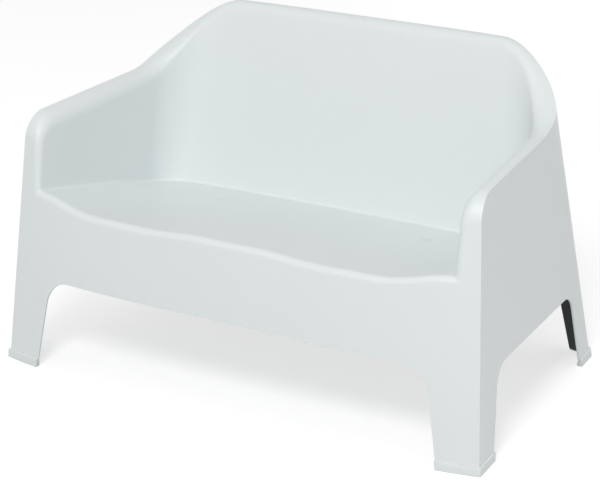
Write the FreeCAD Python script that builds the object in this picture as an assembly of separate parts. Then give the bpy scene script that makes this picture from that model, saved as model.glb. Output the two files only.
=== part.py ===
"""Two-seat garden bench, moulded in one piece, on four clip-on feet. Millimetres.

The sitter faces -Y. Left is -X and right is +X, as seen from the front. While it is
being built, Y is counted from the front corners at the floor. At the end everything
moves back by half the depth, so that the origin is the middle of the footprint.
"""
import FreeCAD, Part
import math
import os

V = FreeCAD.Vector

# Overall sizes, at the outer corners
WIDTH = 1370.0             # across the front corners at the floor
REAR_WIDTH = 1236.0        # across the rear corners at the floor
DEPTH = 795.0              # front corners to rear corners at the floor
HEIGHT = 853.0             # floor to the top of the back
ARM_HEIGHT = 646.0         # floor to the front end of the arm's outer edge
ARM_SLOPE = 0.071          # rise of the arm per millimetre of depth
WALL = 4.5                 # thickness of the moulding

# Outer skirt: all four walls lean inwards, as the mould needs
SIDE_LEAN = 0.061
FRONT_LEAN = 0.09
FRONT_BULGE = 42.0         # how far the front stands out at its middle
REAR_BULGE_FLOOR = 45.0
REAR_BULGE_TOP = 20.0
REAR_CORNER_FLOOR = 20.0   # radius of the rear corners in plan
REAR_CORNER_TOP = 240.0
SHOULDER_RADIUS = 73.0     # where the front turns into the arm top

# The tub that holds the sitters
ARM_WIDTH = 95.0           # skirt to tub, at the front corners and the floor line
ARM_TAPER = 0.0057         # how much wider the arms get per millimetre of depth
TUB_DRAFT = 0.01
BACK_FOOT = 560.0          # depth at which the seat meets the back
BACK_LEAN = 0.213
BACK_BULGE = 25.0
BACK_RIM = 30.6            # width of the rim at the middle of the back
TUB_CORNER_LOW = 90.0      # radius of the tub's rear corners, at seat height
TUB_CORNER_TOP = 165.0

# Seat surface: it falls towards the back and has a hollow for each sitter
SEAT_FRONT = 476.0         # height at the side walls, at the front corners' depth
SEAT_FALL = 0.187
SEAT_HOLLOW = 48.0         # deepest point of a hollow, at the lip
SEAT_HOLLOW_FRONT = 30.0   # depth at which the hollows start to flatten
SEAT_HOLLOW_RUN = 610.0
SEAT_HOLLOW_POWER = 2.2
SEAT_WAVES = (0.6697, 0.1310, -0.2101, 0.0929, -0.0547, 0.0434)   # the hollows across the seat
SEAT_LEVEL_FROM = 300.0    # depth from which the hollows even out to a level foot of the back
SEAT_LEVEL_RUN = 235.0
SEAT_REAR_HEIGHT = 360.0   # height at which the back starts to lean

# Rise of the rim from the arms to the back, round the rear corners
RIM_TURN_INSET = 164.0     # from the tub's side wall to the centre of the turn
RIM_TURN_BEFORE = 65.0     # from the centre of the turn to the foot of the back
RIM_TURN_RADIUS = 210.0
RIM_RISE_START = -30.0     # along the rim, from the start of the turn
RIM_RISE_END = 330.0
RIM_CLEAR_INNER = 60.0     # the tub is open this near to the turn's centre
RIM_CLEAR_OUTER = 120.0

# Legs at the floor, and the arches between them
FRONT_LEG_WIDTH = 103.0
REAR_LEG_WIDTH = 63.0
FRONT_LEG_DEPTH = 90.0
REAR_LEG_DEPTH = 87.0
FRONT_ARCH_LEAN = 0.17     # lean of a leg's inner edge
FRONT_ARCH_HEIGHT = 243.0
FRONT_ARCH_RADIUS = 75.0
REAR_ARCH_LEAN = 0.17
REAR_ARCH_HEIGHT = 221.0
REAR_ARCH_RADIUS = 75.0
SIDE_ARCH_FRONT_LEAN = 0.20
SIDE_ARCH_REAR_LEAN = 0.30
SIDE_ARCH_HEIGHT = 221.0
SIDE_ARCH_RADIUS = 60.0

# Ribs under the seat, and the drain slots through it
RIB_THICKNESS = 4.0
RIB_DEPTH = 26.0
RIB_FIRST = 150.0          # depth of the first rib that runs across
RIB_PITCH_DEPTH = 170.0
RIB_PITCH_WIDTH = 220.0
SLOT_X = 304.0
SLOT_BEFORE_BACK = 121.0
SLOT_LENGTH = 34.0
SLOT_WIDTH = 5.0

# Clip-on feet and the pads inside the rear legs
FOOT_HEIGHT = 22.0
FOOT_FLOOR = 4.0           # thickness under the leg's edge
FOOT_PROUD = 5.0           # how far the outer lip stands out from the leg
FOOT_INNER = 4.0           # thickness of the inner lip
FOOT_GAP = 0.3             # clearance beside the leg's wall
PAD_THICKNESS = 6.0
PAD_GAP = 0.3              # clearance between a pad and the leg's wall
PAD_HEIGHT = 232.0

# Working values
FAR = 400.0                # overshoot of the cutting solids
MARGIN = 100.0             # overshoot of the seat and rim surfaces
SEAT_GRID = 80.0           # spacing of the points that the surfaces pass through
RIM_GRID = 50.0
BISECTIONS = 60
LOFT_LOW = -10.0           # every wall is lofted between these two heights
LOFT_HIGH = HEIGHT + MARGIN

# Sizes that follow from the ones above
TAPER = (WIDTH - REAR_WIDTH) / 2 / DEPTH
REAR_LEAN = (DEPTH + REAR_BULGE_TOP - BACK_RIM - BACK_FOOT
             - BACK_LEAN * (HEIGHT - SEAT_REAR_HEIGHT)) / HEIGHT
TUB_HALF_WIDTH = WIDTH / 2 - ARM_WIDTH
FRONT_ARCH_HALF = WIDTH / 2 - FRONT_LEG_WIDTH
REAR_ARCH_HALF = REAR_WIDTH / 2 - REAR_LEG_WIDTH
SLOT_Y = BACK_FOOT - SLOT_BEFORE_BACK
RIM_TURN_Y = BACK_FOOT - RIM_TURN_BEFORE


def box(low, high):
    return Part.makeBox(high[0] - low[0], high[1] - low[1], high[2] - low[2], V(*low))


class Plan:
    """A leaning box whose front and rear bow outwards, with rounded rear corners."""

    def __init__(self, half, taper, lean, front, rear, corner):
        self.half, self.taper, self.lean = half, taper, lean
        self.front_y, self.front_lean, self.front_bulge = front
        self.rear_y, self.rear_lean, self.bulge_low, self.bulge_top = rear
        self.corner_low, self.corner_top, self.corner_base = corner

    def share(self, z):
        """Height as a share of the way from the corner's low radius to its top one."""
        return (z - self.corner_base) / (HEIGHT - self.corner_base)

    def side_x(self, y, z, grow=0.0):
        return self.half - self.taper * y - self.lean * z + grow * math.hypot(1, self.taper)

    def front_corner(self, z, grow=0.0):
        y = self.front_y + self.front_lean * z - grow
        return self.side_x(y, z, grow), y

    def front_face_y(self, x, z, grow=0.0):
        half, y = self.front_corner(z, grow)
        return y - self.front_bulge * (1 - (x / half) ** 4)

    def rear_span(self, z, grow=0.0):
        """Half width, corner depth and bow of the rear wall at a height."""
        y = self.rear_y + self.rear_lean * z + grow
        bulge = self.bulge_low + (self.bulge_top - self.bulge_low) * self.share(z)
        return self.side_x(y, z, grow), y, bulge

    def rear_face_y(self, x, z, grow=0.0):
        half, y, bulge = self.rear_span(z, grow)
        return y + bulge * (1 - (x / half) ** 4)

    def rear_corner(self, z, grow=0.0):
        """Start, middle and end of the arc that joins the side wall to the rear wall."""
        half, _, bulge = self.rear_span(z, grow)
        radius = self.corner_low + (self.corner_top - self.corner_low) * self.share(z) + grow
        tilt = math.hypot(1, self.taper)
        side_normal = (1 / tilt, self.taper / tilt)
        low, high = 0.0, half
        for _ in range(BISECTIONS):
            x = (low + high) / 2
            slope = -4 * bulge * x ** 3 / half ** 4
            run = math.hypot(1, slope)
            normal = (-slope / run, 1 / run)
            end = (x, self.rear_face_y(x, z, grow))
            centre = (end[0] - radius * normal[0], end[1] - radius * normal[1])
            gap = (self.side_x(centre[1], z, grow) - centre[0]) / tilt
            if gap > radius:
                low = x
            else:
                high = x
        start = (centre[0] + radius * side_normal[0], centre[1] + radius * side_normal[1])
        between = (normal[0] + side_normal[0], normal[1] + side_normal[1])
        size = math.hypot(*between)
        middle = (centre[0] + radius * between[0] / size, centre[1] + radius * between[1] / size)
        return start, middle, end

    def wire(self, z, grow=0.0):
        """The closed outline at one height, moved outwards by grow."""
        half, front = self.front_corner(z, grow)
        start, middle, end = self.rear_corner(z, grow)

        def bowed(half_width, y, bulge, side):
            # a bow of the fourth power, as an exact curve
            rise = (0, 2, 0, 2, 0)
            curve = Part.BezierCurve()
            curve.setPoles([V(half_width * (i - 2) / 2, y + side * bulge * rise[i], z)
                            for i in range(5)])
            return curve

        front_edge = bowed(half, front, self.front_bulge, -1).toShape()
        rear_half, rear_y, rear_bulge = self.rear_span(z, grow)
        rear = bowed(rear_half, rear_y, rear_bulge, 1)
        reach = end[0] / rear_half
        rear_edge = Part.Edge(rear, (1 - reach) / 2, (1 + reach) / 2)

        def at(point, sign):
            return V(sign * point[0], point[1], z)

        def corner(sign):
            return Part.Arc(at(start, sign), at(middle, sign), at(end, sign)).toShape()

        sides = [Part.makeLine(V(sign * half, front, z), at(start, sign)) for sign in (1, -1)]
        return Part.Wire([front_edge, sides[0], corner(1), rear_edge, corner(-1), sides[1]])

    def solid(self, low, high, grow=0.0):
        """The part of the box between two heights. Every call lofts over the same span,
        so that walls at different distances stay parallel."""
        body = Part.makeLoft([self.wire(LOFT_LOW, grow), self.wire(LOFT_HIGH, grow)], True, True)
        return body.common(box((-WIDTH, -2 * FAR, low), (WIDTH, DEPTH + FAR, high)))


SKIRT = Plan(WIDTH / 2, TAPER, SIDE_LEAN,
             front=(0.0, FRONT_LEAN, FRONT_BULGE),
             rear=(DEPTH, -REAR_LEAN, REAR_BULGE_FLOOR, REAR_BULGE_TOP),
             corner=(REAR_CORNER_FLOOR, REAR_CORNER_TOP, 0.0))
TUB = Plan(TUB_HALF_WIDTH, TAPER + ARM_TAPER, -TUB_DRAFT,
           front=(-FAR, 0.0, 0.0),
           rear=(BACK_FOOT - BACK_LEAN * SEAT_REAR_HEIGHT - BACK_BULGE, BACK_LEAN,
                 BACK_BULGE, BACK_BULGE),
           corner=(TUB_CORNER_LOW, TUB_CORNER_TOP, SEAT_REAR_HEIGHT))
RIM_TURN_X = TUB.side_x(RIM_TURN_Y, ARM_HEIGHT) - RIM_TURN_INSET


def smooth(share):
    """An S-curve from 0 to 1."""
    share = min(max(share, 0.0), 1.0)
    return share * share * (3 - 2 * share)


def seat_height(x, y):
    """Height of the seat: a slope with two hollows and a low ridge between them."""
    share = min(abs(x) / TUB_HALF_WIDTH, 1.0)
    hollow = sum(size * math.cos(i * math.pi * share) for i, size in enumerate(SEAT_WAVES))
    hollow += (SEAT_WAVES[0] - hollow) * smooth((y - SEAT_LEVEL_FROM) / SEAT_LEVEL_RUN)
    run = max(y - SEAT_HOLLOW_FRONT, 0.0) / SEAT_HOLLOW_RUN
    depth = SEAT_HOLLOW * (1 - min(run, 1.0) ** SEAT_HOLLOW_POWER)
    return SEAT_FRONT - SEAT_FALL * y - depth * hollow


def rim_height(x, y):
    """Height of the rim over any point in plan: level along the arms and the back."""
    across, along = abs(x) - RIM_TURN_X, y - RIM_TURN_Y
    arm = ARM_HEIGHT + ARM_SLOPE * min(y, RIM_TURN_Y)
    rise = HEIGHT - ARM_HEIGHT - ARM_SLOPE * RIM_TURN_Y
    if across > 0:
        distance = RIM_TURN_RADIUS * math.atan2(along, across)
        share = smooth((distance - RIM_RISE_START) / (RIM_RISE_END - RIM_RISE_START))
    else:
        share = smooth((along + RIM_CLEAR_OUTER / 2) / RIM_CLEAR_OUTER)
    keep = smooth((math.hypot(across, along) - RIM_CLEAR_INNER)
                  / (RIM_CLEAR_OUTER - RIM_CLEAR_INNER))
    if across <= 0:
        keep = max(keep, smooth(-across / RIM_CLEAR_INNER))
    return arm + rise * (keep * share + (1 - keep) / 2)


def height_face(height, shift, low_y, step):
    """A smooth face through height(x, y) + shift, wider and deeper than the bench."""
    columns = math.ceil((WIDTH / 2 + MARGIN) / step)
    rows = math.ceil((DEPTH + 2 * MARGIN - low_y) / step)
    grid = [[V(step * i, low_y + step * j, height(step * i, low_y + step * j) + shift)
             for j in range(rows + 1)] for i in range(-columns, columns + 1)]
    surface = Part.BSplineSurface()
    surface.interpolate(grid)
    return surface.toShape()


def seat_face(shift):
    return height_face(seat_height, shift, -1.5 * FAR, SEAT_GRID)


def rim_face(shift):
    return height_face(rim_height, shift, -FAR / 2, RIM_GRID)


def filled(grow, bottom):
    """The bench as if it were solid: skirt, rim and shoulders, less the tub."""
    body = SKIRT.solid(bottom, LOFT_HIGH, grow)
    body = body.cut(rim_face(grow).extrude(V(0, 0, LOFT_HIGH)))
    shoulder = [edge for edge in body.Edges
                if edge.Length > WIDTH / 2 and edge.CenterOfMass.y < DEPTH / 4
                and edge.CenterOfMass.z > ARM_HEIGHT / 2]
    body = body.makeFillet(SHOULDER_RADIUS + grow, shoulder)
    tub = TUB.solid(SEAT_REAR_HEIGHT / 2, LOFT_HIGH, -grow)
    tub = tub.cut(seat_face(grow).extrude(V(0, 0, -FAR)))
    return body.cut(tub)


def prism(points, direction):
    """A solid with a flat outline, drawn out along a direction."""
    return Part.Face(Part.makePolygon(points + points[:1])).extrude(direction)


def arch(place, low_edges, leans, height, radius, direction):
    """A cutter for one arch: leaning sides, a level top and two rounded corners."""
    (low, high), (low_lean, high_lean) = low_edges, leans
    outline = [(low - low_lean * FAR, -FAR), (high + high_lean * FAR, -FAR),
               (high - high_lean * height, height), (low + low_lean * height, height)]
    body = prism([place(across, up) for across, up in outline], direction)
    corners = [edge for edge in body.Edges
               if edge.BoundBox.ZLength < 1 and edge.BoundBox.ZMin > height - 1
               and abs(edge.tangentAt(edge.FirstParameter).dot(direction)) > 0.9 * direction.Length]
    return body.makeFillet(radius, corners)


def arches():
    """The cutters for the openings between the legs: front, rear and both sides."""
    front = arch(lambda x, z: V(x, -FAR, z), (-FRONT_ARCH_HALF, FRONT_ARCH_HALF),
                 (FRONT_ARCH_LEAN, FRONT_ARCH_LEAN), FRONT_ARCH_HEIGHT, FRONT_ARCH_RADIUS,
                 V(0, FAR + DEPTH / 4, 0))
    rear = arch(lambda x, z: V(x, DEPTH * 3 / 4, z), (-REAR_ARCH_HALF, REAR_ARCH_HALF),
                (REAR_ARCH_LEAN, REAR_ARCH_LEAN), REAR_ARCH_HEIGHT, REAR_ARCH_RADIUS,
                V(0, FAR, 0))
    sides = arch(lambda y, z: V(-WIDTH, y, z), (FRONT_LEG_DEPTH, DEPTH - REAR_LEG_DEPTH),
                 (SIDE_ARCH_FRONT_LEAN, SIDE_ARCH_REAR_LEAN), SIDE_ARCH_HEIGHT,
                 SIDE_ARCH_RADIUS, V(2 * WIDTH, 0, 0))
    return front, rear, sides


def ribs():
    """A grid of ribs that hangs from the underside of the seat."""
    half = RIB_THICKNESS / 2
    plates = []
    for row in range(int((BACK_FOOT - RIB_FIRST) / RIB_PITCH_DEPTH) + 1):
        y = RIB_FIRST + RIB_PITCH_DEPTH * row
        reach = TUB.side_x(y, SEAT_REAR_HEIGHT) - WALL
        plates.append(box((-reach, y - half, 0), (reach, y + half, HEIGHT)))
    columns = int(TUB_HALF_WIDTH / RIB_PITCH_WIDTH)
    for column in range(-columns, columns + 1):
        x = RIB_PITCH_WIDTH * column
        front = SKIRT.front_face_y(x, SEAT_REAR_HEIGHT) + WALL / 2
        plates.append(box((x - half, front, 0), (x + half, BACK_FOOT, HEIGHT)))
    grid = plates[0].multiFuse(plates[1:])
    layer = seat_face(-WALL / 2).extrude(V(0, 0, -WALL / 2 - RIB_DEPTH))
    return grid.common(layer)


def drain_slots():
    """Two slots with round ends, where water would stand in the hollows."""
    reach = (SLOT_LENGTH - SLOT_WIDTH) / 2
    cutters = []
    for x in (-SLOT_X, SLOT_X):
        cutters.append(box((x - reach, SLOT_Y - SLOT_WIDTH / 2, SEAT_REAR_HEIGHT / 2),
                           (x + reach, SLOT_Y + SLOT_WIDTH / 2, SEAT_FRONT)))
        for end in (x - reach, x + reach):
            cutters.append(Part.makeCylinder(SLOT_WIDTH / 2, SEAT_FRONT - SEAT_REAR_HEIGHT / 2,
                                             V(end, SLOT_Y, SEAT_REAR_HEIGHT / 2)))
    return cutters


def moulded_shell():
    """Seat, back, arms, skirt and legs: one moulding, open from below."""
    shell = filled(0.0, FOOT_FLOOR).cut(filled(-WALL, LOFT_LOW))
    shell = shell.fuse(ribs())
    return shell.cut([*arches(), *drain_slots()])


def ring(low, high, outer, inner):
    """A band that follows the skirt, between two distances from its outer face."""
    return SKIRT.solid(low, high, outer).cut(SKIRT.solid(low - 1, high + 1, inner))


def feet():
    """The four clip-on feet: a channel that takes the lower edge of each leg."""
    inner = -(WALL + FOOT_GAP + FOOT_INNER)
    band = ring(0, FOOT_HEIGHT, FOOT_PROUD, inner)
    channel = ring(FOOT_FLOOR, FOOT_HEIGHT + 1, FOOT_GAP, -(WALL + FOOT_GAP))
    pad_room = SKIRT.solid(FOOT_FLOOR, FOOT_HEIGHT + 1, -WALL).common(
        box((-WIDTH, pad_front_y(), 0), (WIDTH, DEPTH + FAR, HEIGHT)))
    band = band.cut([channel, pad_room, *arches()])
    named = {}
    for solid in band.Solids:
        centre = solid.CenterOfMass
        end = "front" if centre.y < DEPTH / 2 else "rear"
        side = "left" if centre.x < 0 else "right"
        named[f"foot_{end}_{side}"] = solid
    return named


def pad_front_y():
    """Depth at which a pad's room in the rear foot starts."""
    return SKIRT.rear_face_y(SKIRT.rear_span(0)[0], 0) - WALL - 4 * PAD_THICKNESS


def rear_leg_pads():
    """A dark pad on the inner face of each rear leg, standing on the foot's floor."""
    outer = WALL + PAD_GAP
    band = ring(FOOT_FLOOR, PAD_HEIGHT, -outer, -(outer + PAD_THICKNESS))
    named = {}
    for side, sign in (("left", -1), ("right", 1)):
        outline = []
        for up in (0.0, PAD_HEIGHT):
            arch_edge = REAR_ARCH_HALF - REAR_ARCH_LEAN * up
            wall_edge = SKIRT.side_x(DEPTH, up) - WALL - 2 * PAD_THICKNESS
            ends = [V(sign * arch_edge, DEPTH / 2, up), V(sign * wall_edge, DEPTH / 2, up)]
            outline += ends if up == 0 else ends[::-1]
        named[f"rear_leg_pad_{side}"] = band.common(prism(outline, V(0, DEPTH, 0))).Solids[0]
    return named


def middle_depth():
    """Half way between the foremost and the rearmost point of the feet."""
    front = SKIRT.front_face_y(FRONT_ARCH_HALF, 0, FOOT_PROUD)
    rear = SKIRT.rear_face_y(REAR_ARCH_HALF, 0, FOOT_PROUD)
    return (front + rear) / 2


def main():
    os.makedirs("parts", exist_ok=True)
    pieces = {"moulded_shell": moulded_shell(), **feet(), **rear_leg_pads()}
    for name, shape in pieces.items():
        shape.translate(V(0, -middle_depth(), 0))
        bounds = shape.BoundBox
        print(name, len(shape.Solids), "solid", shape.isValid(), round(shape.Volume / 1000, 2), "cm3",
              [round(value, 1) for value in (bounds.XMin, bounds.YMin, bounds.ZMin,
                                             bounds.XMax, bounds.YMax, bounds.ZMax)])
        shape.exportStep(f"parts/{name}.step")


main()
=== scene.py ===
"""Looks of a two-seat garden bench moulded in one piece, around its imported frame. Metres.

While a shape is worked out, depth is counted from the front corners at the floor, as in
the part's source. `Layout.place` moves each point to the frame at the end.
"""

import functools
import logging
import math
from collections.abc import Sequence
from dataclasses import dataclass
from enum import Enum

import bmesh
import bpy
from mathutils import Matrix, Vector

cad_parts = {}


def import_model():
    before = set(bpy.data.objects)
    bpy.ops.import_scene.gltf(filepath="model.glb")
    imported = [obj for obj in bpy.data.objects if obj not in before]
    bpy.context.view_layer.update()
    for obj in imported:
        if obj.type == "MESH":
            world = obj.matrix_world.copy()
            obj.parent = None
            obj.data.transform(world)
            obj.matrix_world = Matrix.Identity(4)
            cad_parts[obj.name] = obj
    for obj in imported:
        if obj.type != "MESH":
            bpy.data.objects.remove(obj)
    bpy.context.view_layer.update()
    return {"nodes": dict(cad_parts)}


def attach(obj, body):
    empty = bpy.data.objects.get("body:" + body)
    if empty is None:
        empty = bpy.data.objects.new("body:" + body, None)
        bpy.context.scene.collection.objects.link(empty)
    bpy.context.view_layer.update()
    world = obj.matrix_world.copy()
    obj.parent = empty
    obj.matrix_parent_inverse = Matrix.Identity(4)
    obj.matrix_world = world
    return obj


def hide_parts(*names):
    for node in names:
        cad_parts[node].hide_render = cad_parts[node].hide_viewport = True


LOG = logging.getLogger("garden_bench")
BODY = "root"
LOFT_LOW = -0.010      # every wall is ruled between these two heights
LOFT_HIGH = 0.953
BISECTIONS = 60
RUN_BISECTIONS = 30
SETTLE_STEPS = 12      # repeats that bring a point onto two surfaces at once
WELD = 2e-5
Grid = list[list[Vector]]


class Section(Enum):
    """Which face of the rim a cross-section lies in."""

    FRONT = "front"
    SHOULDER = "shoulder"
    TOP = "top"


def mix(low: float, high: float, share: float) -> float:
    """The value at a share of the way from low to high."""
    return low + (high - low) * share


def smooth(share: float) -> float:
    """An S-curve from 0 to 1."""
    share = min(max(share, 0.0), 1.0)
    return share * share * (3 - 2 * share)


def steps(count: int, low: float = 0.0, high: float = 1.0) -> list[float]:
    """Evenly spaced values after low, up to and including high."""
    return [mix(low, high, (i + 1) / count) for i in range(count)]


# --------------------------------------------------------------------------- plan shapes
@dataclass(frozen=True)
class Outline:
    """Half of an outline at one height: side line, rounded rear corner and bowed rear."""

    front: tuple[float, float]
    centre: tuple[float, float]
    radius: float
    angle_side: float
    angle_rear: float
    rear_half: float
    rear_y: float
    bulge: float

    def at(self, run: float) -> tuple[float, float]:
        """A point of the outline.

        Args:
            run: 0 to 1 along the side, 1 to 2 round the corner, 2 to 3 along the rear.

        Returns:
            The point's x and y.
        """
        if run <= 1:
            end = self.corner(self.angle_side)
            return mix(self.front[0], end[0], run), mix(self.front[1], end[1], run)
        if run <= 2:
            return self.corner(mix(self.angle_side, self.angle_rear, run - 1))
        share = self.corner(self.angle_rear)[0] / self.rear_half * (3 - run)
        return share * self.rear_half, self.rear_y + self.bulge * (1 - share ** 4)

    def corner(self, angle: float) -> tuple[float, float]:
        """The corner arc's point at an angle."""
        return (self.centre[0] + self.radius * math.cos(angle),
                self.centre[1] + self.radius * math.sin(angle))


@dataclass(frozen=True)
class LeaningBox:
    """A leaning box whose front and rear bow outwards, with rounded rear corners."""

    half: float
    taper: float
    lean: float
    front_y: float
    front_lean: float
    front_bulge: float
    rear_y: float
    rear_lean: float
    bulge_low: float
    bulge_top: float
    corner_low: float
    corner_top: float
    corner_base: float
    height: float

    def side_x(self, y: float, z: float, grow: float = 0.0) -> float:
        """Half width at a depth and height."""
        return self.half - self.taper * y - self.lean * z + grow * math.hypot(1, self.taper)

    def front_depth(self, x: float, z: float, grow: float = 0.0) -> float:
        """Depth of the front face at a point."""
        y = self.front_y + self.front_lean * z - grow
        return y - self.front_bulge * (1 - (x / self.side_x(y, z, grow)) ** 4)

    def front_corner(self, z: float, grow: float = 0.0) -> tuple[float, float]:
        """Where the front face meets the side."""
        y = self.front_y + self.front_lean * z - grow
        return self.side_x(y, z, grow), y

    @functools.lru_cache(maxsize=None)
    def outline(self, z: float, grow: float = 0.0) -> Outline:
        """The outline at a height, moved outwards by grow.

        Args:
            z: the height.
            grow: how far outwards.

        Returns:
            The outline of the half with positive x.
        """
        share = (z - self.corner_base) / (self.height - self.corner_base)
        y = self.rear_y + self.rear_lean * z + grow
        half = self.side_x(y, z, grow)
        bulge = mix(self.bulge_low, self.bulge_top, share)
        radius = mix(self.corner_low, self.corner_top, share) + grow
        tilt = math.hypot(1, self.taper)
        low, high = 0.0, half
        for _ in range(BISECTIONS):
            x = (low + high) / 2
            slope = -4 * bulge * x ** 3 / half ** 4
            run = math.hypot(1, slope)
            centre = (x + radius * slope / run,
                      y + bulge * (1 - (x / half) ** 4) - radius / run)
            if (self.side_x(centre[1], z, grow) - centre[0]) / tilt > radius:
                low = x
            else:
                high = x
        return Outline(self.front_corner(z, grow), centre, radius, math.atan2(self.taper, 1),
                       math.atan2(1, -slope), half, y, bulge)

    def around(self, run: float, z: float, grow: float = 0.0) -> Vector:
        """The wall's point at a run and a height, on straight lines between two outlines.

        Args:
            run: 0 to 1 along the side, 1 to 2 round the corner, 2 to 3 along the rear.
            z: the height.
            grow: how far outwards the wall is moved.

        Returns:
            The point.
        """
        share = (z - LOFT_LOW) / (LOFT_HIGH - LOFT_LOW)
        low = self.outline(LOFT_LOW, grow).at(run)
        high = self.outline(LOFT_HIGH, grow).at(run)
        return Vector((mix(low[0], high[0], share), mix(low[1], high[1], share), z))

    def run_at_depth(self, y: float, z: float, grow: float = 0.0) -> float:
        """The run of the side wall's point at a depth and height."""
        first, last = self.around(0, z, grow).y, self.around(1, z, grow).y
        return (y - first) / (last - first)

    def run_at_width(self, x: float, z: float, grow: float = 0.0) -> float:
        """The run of the rear wall's point at a half width and height."""
        return 3 - x / self.around(2, z, grow).x

    def run_past_side(self, x: float, z: float, grow: float) -> float:
        """The run of the wall's point at a half width, on the corner or the rear.

        Args:
            x: the half width.
            z: the height.
            grow: how far outwards the wall is moved.

        Returns:
            The run, between 1 and 3.
        """
        low, high = 1.0, 3.0
        for _ in range(RUN_BISECTIONS):
            run = (low + high) / 2
            if self.around(run, z, grow).x > x:
                low = run
            else:
                high = run
        return run

    def inward(self, run: float, z: float) -> Vector:
        """The level direction into the box from a point of its wall.

        Args:
            run: 0 to 1 along the side, 1 to 2 round the corner, 2 to 3 along the rear.
            z: the height.

        Returns:
            A direction of length 1.
        """
        step = 1e-4
        before, after = self.around(max(run - step, 0), z), self.around(min(run + step, 3), z)
        along = (after - before).normalized()
        return Vector((-along.y, along.x, 0))


# ------------------------------------------------------------------------------- sizes
@dataclass(frozen=True)
class Layout:
    """The driving sizes of the moulding, the same as in the part's source."""

    width: float = 1.370
    rear_width: float = 1.236
    depth: float = 0.795
    height: float = 0.853
    wall: float = 0.0045
    front_lean: float = 0.09
    front_bulge: float = 0.042
    side_lean: float = 0.061
    rear_bulge_floor: float = 0.045
    rear_bulge_top: float = 0.020
    rear_corner_floor: float = 0.020
    rear_corner_top: float = 0.240
    arm_width: float = 0.095
    arm_taper: float = 0.0057
    tub_draft: float = 0.01
    back_foot: float = 0.560
    back_lean: float = 0.213
    back_bulge: float = 0.025
    back_rim: float = 0.0306
    tub_corner_low: float = 0.090
    tub_corner_top: float = 0.165
    seat_rear_height: float = 0.360
    front_leg_width: float = 0.103
    rear_leg_width: float = 0.063
    foot_proud: float = 0.005

    @functools.cached_property
    def skirt(self) -> LeaningBox:
        """The outer walls.

        Returns:
            The box that the skirt follows.
        """
        lean = (self.depth + self.rear_bulge_top - self.back_rim - self.back_foot
                - self.back_lean * (self.height - self.seat_rear_height)) / self.height
        taper = (self.width - self.rear_width) / 2 / self.depth
        return LeaningBox(self.width / 2, taper, self.side_lean, 0.0, self.front_lean,
                          self.front_bulge, self.depth, -lean, self.rear_bulge_floor,
                          self.rear_bulge_top, self.rear_corner_floor, self.rear_corner_top,
                          0.0, self.height)

    @functools.cached_property
    def tub(self) -> LeaningBox:
        """The walls round the sitters.

        Returns:
            The box that the arms' and the back's inner faces follow.
        """
        taper = (self.width - self.rear_width) / 2 / self.depth + self.arm_taper
        rear = self.back_foot - self.back_lean * self.seat_rear_height - self.back_bulge
        return LeaningBox(self.width / 2 - self.arm_width, taper, -self.tub_draft, 0.0, 0.0,
                          0.0, rear, self.back_lean, self.back_bulge, self.back_bulge,
                          self.tub_corner_low, self.tub_corner_top, self.seat_rear_height,
                          self.height)

    @functools.cached_property
    def front_arch_half(self) -> float:
        """Half width of the front arch at the floor."""
        return self.width / 2 - self.front_leg_width

    @functools.cached_property
    def rear_arch_half(self) -> float:
        """Half width of the rear arch at the floor."""
        return self.rear_width / 2 - self.rear_leg_width

    @functools.cached_property
    def middle(self) -> float:
        """Half way between the foremost and the rearmost point of the feet.

        Returns:
            The depth that lies at the frame's origin.
        """
        front = self.skirt.front_depth(self.front_arch_half, 0, self.foot_proud)
        half = self.skirt.side_x(self.depth + self.foot_proud, 0, self.foot_proud)
        rear = (self.depth + self.foot_proud
                + self.rear_bulge_floor * (1 - (self.rear_arch_half / half) ** 4))
        return (front + rear) / 2

    def place(self, point: Vector) -> Vector:
        """A point moved to the frame."""
        return Vector((point.x, point.y - self.middle, point.z))


@dataclass(frozen=True)
class SeatShape:
    """The seat: a slope down to the back, with a hollow for each sitter."""

    half: float = 0.590
    front: float = 0.476
    fall: float = 0.187
    hollow: float = 0.048
    hollow_front: float = 0.030
    hollow_run: float = 0.610
    hollow_power: float = 2.2
    waves: tuple[float, ...] = (0.6697, 0.1310, -0.2101, 0.0929, -0.0547, 0.0434)
    level_from: float = 0.300      # from here the hollows even out towards the back
    level_run: float = 0.235

    def level(self, x: float, y: float) -> float:
        """Height of the seat over a point in plan.

        Args:
            x: distance from the middle plane.
            y: the depth.

        Returns:
            The height.
        """
        share = min(abs(x) / self.half, 1.0)
        hollow = sum(size * math.cos(i * math.pi * share) for i, size in enumerate(self.waves))
        hollow = mix(hollow, self.waves[0], smooth((y - self.level_from) / self.level_run))
        run = min(max(y - self.hollow_front, 0.0) / self.hollow_run, 1.0)
        depth = self.hollow * (1 - run ** self.hollow_power)
        return self.front - self.fall * y - depth * hollow


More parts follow.
